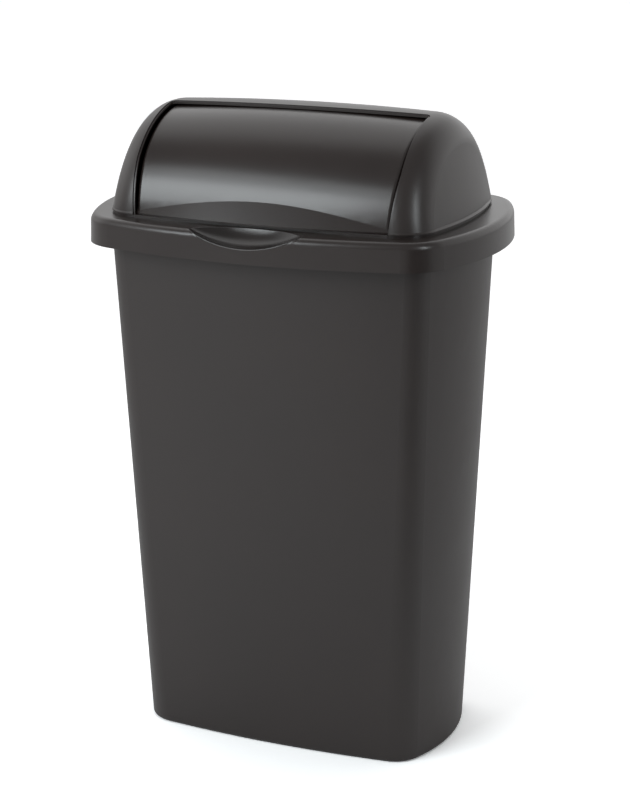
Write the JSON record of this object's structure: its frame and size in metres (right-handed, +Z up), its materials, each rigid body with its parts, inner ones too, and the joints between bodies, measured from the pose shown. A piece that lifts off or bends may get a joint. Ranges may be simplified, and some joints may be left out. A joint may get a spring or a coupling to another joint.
{
  "type": "roll top trash can",
  "caption": "Free-standing tapered kitchen waste bin with a lift-off lid, a fixed hood and a curved door that rolls back under the hood by its finger lip.",
  "frame": {"origin": "middle of the underside, level with the floor that the foot ring stands on", "axes": "+Z up, -Y the front with the finger scoop and the door's finger lip, X across the width"},
  "size_m": [0.456, 0.331, 0.7143],
  "materials": {
    "bin_plastic": "satin charcoal polypropylene",
    "lid_plastic": "satin charcoal polypropylene",
    "hood_plastic": "satin charcoal polypropylene",
    "door_plastic": "satin charcoal polypropylene"
  },
  "bodies": {
    "bin": {"waste_bin": "bin_plastic"},
    "lid": {"lid_frame": "lid_plastic", "hood": "hood_plastic"},
    "door": {"roll_door": "door_plastic"}
  },
  "joints": [
    {"name": "lid_lift", "type": "slide", "parent": "bin", "child": "lid", "axis": [0, 0, 1], "range_m": [0, 0.1]},
    {"name": "door_roll", "type": "hinge", "parent": "lid", "child": "door", "pos_m": [0, -0.0011, 0.5894], "axis": [-1, 0, 0], "range_deg": [0, 64]}
  ]
}
